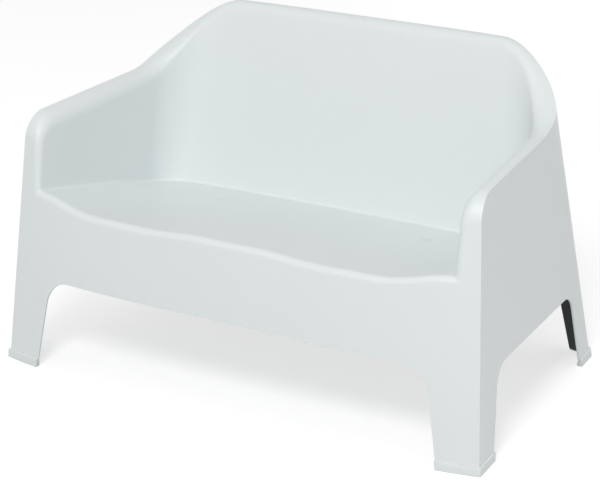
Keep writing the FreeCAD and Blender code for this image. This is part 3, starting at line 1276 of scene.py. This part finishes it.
class Network:
    """A geometry node group being built."""

    def __init__(self, name: str) -> None:
        """An empty group that puts out a geometry.

        Args:
            name: the group's name.
        """
        self.tree = bpy.data.node_groups.new(name, "GeometryNodeTree")
        self.tree.interface.new_socket("Geometry", in_out="OUTPUT",
                                       socket_type="NodeSocketGeometry")
        self.inside = self.tree.nodes.new("NodeGroupInput")
        self.outside = self.tree.nodes.new("NodeGroupOutput")

    def add_input(self, name: str, value: float | int | None, kind: str = "") -> None:
        """Declares an input of the group.

        Args:
            name: the input's name.
            value: its default, or None where it has none.
            kind: its socket type, where that does not follow from the default.
        """
        plain = "NodeSocketInt" if isinstance(value, int) else "NodeSocketFloat"
        socket = self.tree.interface.new_socket(name, in_out="INPUT", socket_type=kind or plain)
        if value is not None:
            socket.default_value = value

    def value(self, name: str) -> bpy.types.NodeSocket:
        """An input's socket inside the group."""
        return self.inside.outputs[name]

    def join(self, source: Source, target: bpy.types.NodeSocket) -> None:
        """Links a node or socket to an input, or sets the input to a number.

        Args:
            source: a node, whose first output is used, a socket or a number.
            target: the input.
        """
        if isinstance(source, bpy.types.Node):
            source = source.outputs[0]
        if isinstance(source, bpy.types.NodeSocket):
            self.tree.links.new(source, target)
        else:
            target.default_value = source

    def make(self, kind: str, **inputs: Source) -> bpy.types.Node:
        """A node with its inputs joined; an underscore in a name stands for a space.

        Args:
            kind: the node's type.
            **inputs: what its inputs get, by name.

        Returns:
            The node.
        """
        node = self.tree.nodes.new(kind)
        for name, source in inputs.items():
            self.join(source, node.inputs[name.replace("_", " ")])
        return node

    def math(self, operation: str, first: Source, second: Source) -> bpy.types.Node:
        """A sum of two numbers, or their difference or product.

        Args:
            operation: the operation's name.
            first: the first number.
            second: the second number.

        Returns:
            The node.
        """
        node = self.tree.nodes.new("ShaderNodeMath")
        node.operation = operation
        self.join(first, node.inputs[0])
        self.join(second, node.inputs[1])
        return node

    def vector(self, x: Source, y: Source, z: Source) -> bpy.types.Node:
        """A vector put together from three numbers."""
        return self.make("ShaderNodeCombineXYZ", X=x, Y=y, Z=z)


# ----------------------------------------------------------------------- feet and pads
@dataclass(frozen=True)
class ClipFoot:
    """A clip-on foot: a channel that takes a leg's lower edge, with a floor under it."""

    layout: Layout
    moulding: Moulding
    front: bool
    side: int                      # -1 left, 1 right
    height: float = 0.022
    floor: float = 0.004
    proud: float = 0.005
    gap: float = 0.0003
    lip: float = 0.004
    lip_height: float = 0.010      # the inner lip stays low
    edge: float = 0.0009           # rounding of the outer edges
    turn: float = 0.030            # share of the front foot's path that its corner takes up
    end_share: float = 0.010       # share of the path over which the ends are rounded
    # The foot leaves room here for the dark sheet of painted shade inside the rear leg.
    shade_sheet_room: float = 0.024        # depth of the part without an inner lip, before the rear wall
    arc: int = 4

    def profile(self, inset: float, lipped: bool) -> list[tuple[float, float]]:
        """The channel's cross-section.

        Args:
            inset: how far every face is drawn in.
            lipped: whether the inner lip stands up from the floor.

        Returns:
            Distances outside the skirt and heights, as one closed loop.
        """
        wall = self.layout.wall
        inner = -(wall + self.gap + self.lip)
        top = self.lip_height if lipped else self.floor
        radius = self.edge - inset
        loop = self.turned(self.proud - inset, inset, radius, -math.pi / 2)
        loop += self.turned(self.proud - inset, self.height - inset, radius, 0.0)
        loop += [(self.gap + inset, self.height - inset)]
        loop += [(self.gap + inset, self.floor - inset)]
        if lipped:
            loop += [(-(wall + self.gap) - inset, self.floor - inset)]
            loop += [(-(wall + self.gap) - inset, top - inset)]
        else:
            loop += [(mix(self.gap, inner, 0.4), self.floor - inset),
                     (mix(self.gap, inner, 0.6), self.floor - inset)]
        loop += self.turned(inner + inset, top - inset, radius, math.pi / 2)
        return loop + self.turned(inner + inset, inset, radius, math.pi)

    def turned(self, x: float, z: float, radius: float, start: float) -> list[tuple[float, float]]:
        """Points of a rounded corner of the cross-section, anticlockwise from an angle.

        Args:
            x: the sharp corner's distance outside the skirt.
            z: its height.
            radius: the rounding.
            start: the angle at which it starts.

        Returns:
            The points.
        """
        middle = start + math.pi / 4
        x -= math.copysign(radius, math.cos(middle))
        z -= math.copysign(radius, math.sin(middle))
        angles = [start + math.pi / 2 * i / self.arc for i in range(self.arc + 1)]
        return [(x + radius * math.cos(angle), z + radius * math.sin(angle)) for angle in angles]

    def front_path(self, share: float, grow: float, z: float) -> Vector:
        """A point of a front foot.

        Args:
            share: 0 to 1 along the front, 1 to 2 along the side.
            grow: the distance outside the skirt.
            z: the height.

        Returns:
            The point.
        """
        skirt = self.layout.skirt
        corner = Vector((*skirt.front_corner(z, grow), z))
        if share <= 1:
            x = mix(self.moulding.front_arch.edge(z)[0], corner.x, share)
            return Vector((x, skirt.front_depth(x, z, grow), z))
        y = mix(corner.y, self.moulding.side_arch_front.edge(z)[0], share - 1)
        return Vector((skirt.side_x(y, z, grow), y, z))

    def rear_path(self, share: float, grow: float, z: float) -> Vector:
        """A point of a rear foot.

        Args:
            share: 0 to 1 along the side, 1 to 2 round the corner, 2 to 3 along the rear.
            grow: the distance outside the skirt.
            z: the height.

        Returns:
            The point.
        """
        skirt = self.layout.skirt
        if share <= 1:
            first = skirt.run_at_depth(self.moulding.side_arch_rear.edge(z)[0], z, grow)
            return skirt.around(mix(first, 1, share), z, grow)
        if share <= 2:
            return skirt.around(share, z, grow)
        last = skirt.run_at_width(self.moulding.rear_arch.edge(z)[0], z, grow)
        return skirt.around(mix(2, last, share - 2), z, grow)

    def stations(self) -> list[tuple[float, float]]:
        """Shares along the path, each with the inset of its cross-section.

        Returns:
            A share and an inset for each cross-section.
        """
        small = self.end_share
        ends = [(0.0, self.edge * 0.7), (small * 0.3, self.edge * 0.2), (small, 0.0)]
        if self.front:
            turn = self.turn
            middle = [(share, 0.0) for share in steps(6, small, 1 - turn)]
            middle += [(share, 0.0) for share in steps(8, 1 - turn, 1 + turn)]
            middle += [(share, 0.0) for share in steps(6, 1 + turn, 2 - small)]
            last = 2.0
        else:
            middle = [(share, 0.0) for share in steps(12, small, 1.0)]
            middle += [(share, 0.0) for share in steps(12, 1.0, 2.0)]
            middle += [(share, 0.0) for share in steps(6, 2.0, 3 - small)]
            last = 3.0
        return ends + middle + [(last - small * 0.3, self.edge * 0.2), (last, self.edge * 0.7)]

    def spot(self, share: float, grow: float, z: float) -> Vector:
        """A point of the foot, with the front foot's corner rounded.

        Args:
            share: how far along the path.
            grow: the distance outside the skirt.
            z: the height.

        Returns:
            The point.
        """
        if not self.front:
            return self.rear_path(share, grow, z)
        turn = self.turn
        if abs(share - 1) >= turn:
            return self.front_path(share, grow, z)
        t = (share - 1 + turn) / (2 * turn)
        start, end = (self.front_path(1 - turn, grow, z), self.front_path(1 + turn, grow, z))
        corner = self.front_path(1, grow, z)
        return start * (1 - t) ** 2 + corner * (2 * t * (1 - t)) + end * t ** 2

    def build(self, finish: "Finish") -> bpy.types.Object:
        """The foot as one closed mesh.

        Args:
            finish: its surface finish.

        Returns:
            The piece.
        """
        rear = self.layout.skirt.around(2, 0.0).y
        work = bmesh.new()
        rings = []
        for share, inset in self.stations():
            start = self.spot(share, 0.0, 0.0)
            lipped = self.front or start.y < rear - self.shade_sheet_room
            ring = []
            for grow, z in self.profile(inset, lipped):
                point = self.layout.place(self.spot(share, grow, z))
                point.x *= self.side
                ring.append(work.verts.new(point))
            rings.append(ring)
        for first, second in zip(rings, rings[1:]):
            for i in range(len(first)):
                j = (i + 1) % len(first)
                work.faces.new((first[i], first[j], second[j], second[i]))
        work.faces.new(rings[0])
        work.faces.new(rings[-1][::-1])
        bmesh.ops.recalc_face_normals(work, faces=work.faces)
        for face in work.faces:
            face.smooth = True
        end = "front" if self.front else "rear"
        name = f"clip_foot_{end}_{'left' if self.side < 0 else 'right'}"
        piece = add_object(name, finish_mesh(work, name))
        piece.data.set_sharp_from_angle(angle=math.radians(40))
        dress(piece, finish.material())
        return piece


@dataclass(frozen=True)
class LegShadeSheet:
    """A dark sheet of painted shade on the inner face of a rear leg, standing on the foot's floor: it
    stands for the shade inside the leg.
    """

    layout: Layout
    moulding: Moulding
    side: int                      # -1 left, 1 right
    thickness: float = 0.006
    gap: float = 0.0003
    floor: float = 0.004
    height: float = 0.232
    rounding: float = 0.0012
    columns: int = 12
    rows: int = 30

    def face(self, grow: float) -> Grid:
        """The painted shade sheet's face at a distance outside the skirt.

        Args:
            grow: the distance, negative inside.

        Returns:
            The face's points, column by column.
        """
        layout = self.layout
        skirt = layout.skirt
        grid = []
        for i in range(self.columns + 1):
            column = []
            for j in range(self.rows + 1):
                z = mix(self.floor, self.height, j / self.rows)
                arch_edge = layout.rear_arch_half - self.moulding.rear_arch.lean * z
                wall_edge = skirt.side_x(layout.depth, z) - layout.wall - 2 * self.thickness
                x = mix(arch_edge, wall_edge, i / self.columns)
                point = layout.place(skirt.around(skirt.run_past_side(x, z, grow), z, grow))
                column.append(Vector((self.side * point.x, point.y, point.z)))
            grid.append(column)
        return grid

    def build(self, finish: "Finish") -> bpy.types.Object:
        """The painted shade sheet as one closed mesh with softened edges.

        Args:
            finish: its surface finish.

        Returns:
            The piece.
        """
        outer = self.face(-(self.layout.wall + self.gap))
        inner = self.face(-(self.layout.wall + self.gap + self.thickness))
        rims = [(outer[0], inner[0]), (outer[-1], inner[-1]),
                ([c[0] for c in outer], [c[0] for c in inner]),
                ([c[-1] for c in outer], [c[-1] for c in inner])]
        work = bmesh.new()
        for grid in (outer, inner, *map(list, rims)):
            add_grid(work, grid)
        bmesh.ops.remove_doubles(work, verts=work.verts, dist=WELD)
        bmesh.ops.recalc_face_normals(work, faces=work.faces)
        # The piece is a dark sheet of painted shade, in the place of the frame's leg pad.
        name = f"leg_pad_{'left' if self.side < 0 else 'right'}"
        piece = add_object(name, finish_mesh(work, name))
        bevel = piece.modifiers.new("edges", "BEVEL")
        bevel.width = self.rounding
        bevel.segments = 3
        bevel.limit_method = "ANGLE"
        bevel.angle_limit = math.radians(48)
        bevel.harden_normals = True
        apply_modifiers(piece)
        dress(piece, finish.material())
        return piece


# ------------------------------------------------------------------------ mesh helpers
def add_grid(work: bmesh.types.BMesh, grid: Grid) -> None:
    """Adds a grid of points as quads.

    Args:
        work: the mesh to add to.
        grid: the points, column by column.
    """
    rows = [[work.verts.new(point) for point in column] for column in grid]
    for first, second in zip(rows, rows[1:]):
        for j in range(len(first) - 1):
            work.faces.new((first[j], first[j + 1], second[j + 1], second[j]))


def finish_mesh(work: bmesh.types.BMesh, name: str) -> bpy.types.Mesh:
    """Turns a bmesh into a smooth-shaded mesh.

    Args:
        work: the bmesh, which is freed.
        name: the mesh's name.

    Returns:
        The mesh.
    """
    for face in work.faces:
        face.smooth = True
    mesh = bpy.data.meshes.new(name)
    work.to_mesh(mesh)
    work.free()
    return mesh


def add_object(name: str, mesh: bpy.types.Mesh) -> bpy.types.Object:
    """A new object in the scene.

    Args:
        name: its name.
        mesh: its mesh.

    Returns:
        The object.
    """
    piece = bpy.data.objects.new(name, mesh)
    bpy.context.scene.collection.objects.link(piece)
    return piece


def apply_modifiers(piece: bpy.types.Object) -> None:
    """Turns a piece's evaluated mesh into its own mesh and removes the modifiers.

    Args:
        piece: the piece.
    """
    graph = bpy.context.evaluated_depsgraph_get()
    graph.update()
    mesh = bpy.data.meshes.new_from_object(piece.evaluated_get(graph), depsgraph=graph)
    piece.modifiers.clear()
    old = piece.data
    piece.data = mesh
    mesh.name = piece.name
    if old.users == 0:
        bpy.data.meshes.remove(old)


def dress(piece: bpy.types.Object, material: bpy.types.Material) -> None:
    """Gives a piece one material."""
    piece.data.materials.clear()
    piece.data.materials.append(material)


# --------------------------------------------------------------------------- materials
@dataclass(frozen=True)
class Finish:
    """A surface finish of satin moulded plastic, or the flat dark colour of painted shade."""

    name: str
    light: tuple[float, float, float]
    dark: tuple[float, float, float]
    roughness: tuple[float, float]
    grain_scale: float
    grain_height: float

    def material(self) -> bpy.types.Material:
        """The finish as a material, made once.

        Returns:
            The material.
        """
        found = bpy.data.materials.get(self.name)
        if found:
            return found
        made = bpy.data.materials.new(self.name)
        made.use_nodes = True
        nodes, links = made.node_tree.nodes, made.node_tree.links
        shader = nodes["Principled BSDF"]
        where = nodes.new("ShaderNodeTexCoord")
        grain = nodes.new("ShaderNodeGroup")
        grain.node_tree = grain_group()
        grain.inputs["Grain scale"].default_value = self.grain_scale
        links.new(where.outputs["Object"], grain.inputs["Position"])
        tone = nodes.new("ShaderNodeMix")
        tone.data_type = "RGBA"
        tone.inputs["A"].default_value = (*self.dark, 1)
        tone.inputs["B"].default_value = (*self.light, 1)
        links.new(grain.outputs["Tone"], tone.inputs["Factor"])
        links.new(tone.outputs["Result"], shader.inputs["Base Color"])
        rough = nodes.new("ShaderNodeMapRange")
        rough.inputs["To Min"].default_value = self.roughness[0]
        rough.inputs["To Max"].default_value = self.roughness[1]
        links.new(grain.outputs["Gloss"], rough.inputs["Value"])
        links.new(rough.outputs["Result"], shader.inputs["Roughness"])
        bump = nodes.new("ShaderNodeBump")
        bump.inputs["Strength"].default_value = 0.25
        bump.inputs["Distance"].default_value = self.grain_height
        links.new(grain.outputs["Height"], bump.inputs["Height"])
        links.new(bump.outputs["Normal"], shader.inputs["Normal"])
        return made


def grain_group() -> bpy.types.NodeTree:
    """The mould's fine grain, with slow changes of tone and gloss, as a shared node group.

    Returns:
        The group, made once.
    """
    name = "moulded_grain"
    found = bpy.data.node_groups.get(name)
    if found:
        return found
    tree = bpy.data.node_groups.new(name, "ShaderNodeTree")
    tree.interface.new_socket("Position", in_out="INPUT", socket_type="NodeSocketVector")
    scale = tree.interface.new_socket("Grain scale", in_out="INPUT",
                                      socket_type="NodeSocketFloat")
    scale.default_value = 900.0
    for label in ("Tone", "Gloss", "Height"):
        tree.interface.new_socket(label, in_out="OUTPUT", socket_type="NodeSocketFloat")
    nodes, links = tree.nodes, tree.links
    inside, outside = nodes.new("NodeGroupInput"), nodes.new("NodeGroupOutput")

    def noise(size: float, detail: float) -> bpy.types.Node:
        """A noise texture at the group's position.

        Args:
            size: its scale.
            detail: how many finer layers it has.

        Returns:
            The node.
        """
        made = nodes.new("ShaderNodeTexNoise")
        made.inputs["Scale"].default_value = size
        made.inputs["Detail"].default_value = detail
        links.new(inside.outputs["Position"], made.inputs["Vector"])
        return made

    slow = noise(2.3, 3.0)
    links.new(slow.outputs["Fac"], outside.inputs["Tone"])
    flow = noise(9.0, 4.0)
    links.new(flow.outputs["Fac"], outside.inputs["Gloss"])
    fine = noise(900.0, 2.0)
    links.new(inside.outputs["Grain scale"], fine.inputs["Scale"])
    links.new(fine.outputs["Fac"], outside.inputs["Height"])
    return tree


SHELL_WHITE = Finish("satin_pale_polypropylene", (0.755, 0.793, 0.796), (0.738, 0.777, 0.781),
                     (0.40, 0.50), 900.0, 0.0004)
FOOT_WHITE = Finish("foot_polypropylene", (0.75, 0.785, 0.787), (0.72, 0.755, 0.76),
                    (0.45, 0.58), 700.0, 0.0005)
# Painted shade: a near-black colour for the sheets inside the rear legs, which stand for the shade
# there.
PAINTED_LEG_SHADE = Finish("anthracite_rubber", (0.026, 0.034, 0.038), (0.018, 0.024, 0.027),
                  (0.62, 0.75), 500.0, 0.0006)


# ------------------------------------------------------------------------------ studio
@dataclass(frozen=True)
class Lamp:
    """A soft rectangular lamp that looks at the bench."""

    name: str
    position: tuple[float, float, float]
    target: tuple[float, float, float]
    size: tuple[float, float]
    power: float

    def add(self) -> None:
        """Puts the lamp in the scene."""
        data = bpy.data.lights.new(self.name, "AREA")
        data.shape = "RECTANGLE"
        data.size, data.size_y = self.size
        data.energy = self.power
        lamp = bpy.data.objects.new(self.name, data)
        lamp.location = self.position
        aim = Vector(self.target) - Vector(self.position)
        lamp.rotation_euler = aim.to_track_quat("-Z", "Y").to_euler()
        lamp.visible_camera = False
        bpy.context.scene.collection.objects.link(lamp)


@dataclass(frozen=True)
class Studio:
    """Plain pale floor, white surroundings, soft lamps and the camera."""

    lamps: tuple[Lamp, ...] = (
        Lamp("key", (1.55, -4.75, 5.1), (0.0, 0.0, 0.4), (1.8, 1.8), 228.0),
        Lamp("low_right", (5.0, 0.3, 0.40), (0.0, 0.0, 0.35), (2.6, 0.6), 24.0),
        Lamp("low_left", (-5.0, 0.3, 0.40), (0.0, 0.0, 0.35), (2.6, 0.6), 24.0),
        Lamp("low_rear", (0.0, 5.0, 0.40), (0.0, 0.0, 0.35), (2.6, 0.6), 30.0),
    )
    world_light: float = 0.50
    floor_colour: tuple[float, float, float] = (0.67, 0.67, 0.67)
    floor_seen: tuple[float, float, float] = (0.54, 0.54, 0.54)
    floor_lift: float = 0.615      # plain light that the floor shows to the camera alone
    camera_place: tuple[float, float, float] = (2.52, -4.236, 2.10)
    camera_yaw: float = 31.10
    camera_pitch: float = 19.76
    lens: float = 122.46

    def sight(self, nodes: bpy.types.Nodes, links: bpy.types.NodeLinks) -> bpy.types.NodeSocket:
        """Tells the rays that show the background from those that light the bench.

        Args:
            nodes: the tree's nodes.
            links: the tree's links.

        Returns:
            A socket that is 1 for rays from the camera, in gloss and through glass.
        """
        path = nodes.new("ShaderNodeLightPath")
        total = path.outputs["Is Camera Ray"]
        for label in ("Is Glossy Ray", "Is Transmission Ray"):
            join = nodes.new("ShaderNodeMath")
            join.operation = "MAXIMUM"
            links.new(total, join.inputs[0])
            links.new(path.outputs[label], join.inputs[1])
            total = join.outputs[0]
        return total

    def surroundings(self) -> None:
        """A world that looks white and lights the bench at a plain level."""
        world = bpy.data.worlds.new("studio")
        bpy.context.scene.world = world
        world.use_nodes = True
        nodes, links = world.node_tree.nodes, world.node_tree.links
        nodes.clear()
        output = nodes.new("ShaderNodeOutputWorld")
        shown, light = nodes.new("ShaderNodeBackground"), nodes.new("ShaderNodeBackground")
        shown.inputs["Color"].default_value = (1, 1, 1, 1)
        light.inputs["Color"].default_value = (1, 1, 1, 1)
        light.inputs["Strength"].default_value = self.world_light
        choose = nodes.new("ShaderNodeMixShader")
        links.new(self.sight(nodes, links), choose.inputs["Fac"])
        links.new(light.outputs[0], choose.inputs[1])
        links.new(shown.outputs[0], choose.inputs[2])
        links.new(choose.outputs[0], output.inputs["Surface"])

    def floor(self) -> None:
        """A pale floor that keeps the bench's shadow."""
        work = bmesh.new()
        bmesh.ops.create_grid(work, x_segments=1, y_segments=1, size=30.0)
        piece = add_object("floor", finish_mesh(work, "floor"))
        made = bpy.data.materials.new("studio_floor")
        made.use_nodes = True
        nodes, links = made.node_tree.nodes, made.node_tree.links
        shader = nodes["Principled BSDF"]
        shader.inputs["Roughness"].default_value = 0.9
        shader.inputs["Specular IOR Level"].default_value = 0.0
        sight = self.sight(nodes, links)
        colour = nodes.new("ShaderNodeMix")
        colour.data_type = "RGBA"
        colour.inputs["A"].default_value = (*self.floor_colour, 1)
        colour.inputs["B"].default_value = (*self.floor_seen, 1)
        links.new(sight, colour.inputs["Factor"])
        links.new(colour.outputs["Result"], shader.inputs["Base Color"])
        lift = nodes.new("ShaderNodeMath")
        lift.operation = "MULTIPLY"
        lift.inputs[1].default_value = self.floor_lift
        links.new(sight, lift.inputs[0])
        shader.inputs["Emission Color"].default_value = (1, 1, 1, 1)
        links.new(lift.outputs[0], shader.inputs["Emission Strength"])
        dress(piece, made)

    def camera(self) -> None:
        """The camera at the usual viewing angle."""
        data = bpy.data.cameras.new("camera")
        data.lens = self.lens
        data.sensor_width = 36.0
        data.clip_end = 100.0
        camera = bpy.data.objects.new("camera", data)
        camera.location = self.camera_place
        camera.rotation_euler = (math.radians(90 - self.camera_pitch), 0,
                                 math.radians(self.camera_yaw))
        bpy.context.scene.collection.objects.link(camera)
        bpy.context.scene.camera = camera

    def build(self) -> None:
        """Sets up everything round the bench."""
        bpy.context.scene.view_settings.view_transform = "Standard"
        self.surroundings()
        self.floor()
        self.camera()
        for lamp in self.lamps:
            lamp.add()


def place_piece(piece: bpy.types.Object, node: str) -> None:
    """Puts a finished piece in the place of a node of the frame, and reports it.

    Args:
        piece: the piece.
        node: the node that it stands for.
    """
    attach(piece, BODY)
    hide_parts(node)
    LOG.info("%s: %d faces", piece.name, len(piece.data.polygons))


def main() -> None:
    """Builds the bench's looks round its frame."""
    logging.basicConfig(level=logging.INFO, format="%(name)s: %(message)s")
    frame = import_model()
    layout = Layout()
    Studio().build()
    moulding = Moulding(layout)
    place_piece(moulding.build(SHELL_WHITE), "moulded_shell")
    place_piece(SeatRibs(layout).build(SHELL_WHITE), "moulded_shell")
    for side, hand in ((-1, "left"), (1, "right")):
        for front, end in ((True, "front"), (False, "rear")):
            foot = ClipFoot(layout, moulding, front, side).build(FOOT_WHITE)
            place_piece(foot, f"foot_{end}_{hand}")
        # Dark sheets of painted shade inside the rear legs, in the places of the frame's leg pads.
        shade_sheet = LegShadeSheet(layout, moulding, side).build(PAINTED_LEG_SHADE)
        place_piece(shade_sheet, f"rear_leg_pad_{hand}")
    for name, node in frame["nodes"].items():
        finish = SHELL_WHITE
        if name.startswith("foot"):
            finish = FOOT_WHITE
        # The frame's leg pads get the painted shade colour.
        elif name.startswith("rear_leg_pad"):
            finish = PAINTED_LEG_SHADE
        dress(node, finish.material())


if __name__ == "__main__":
    main()
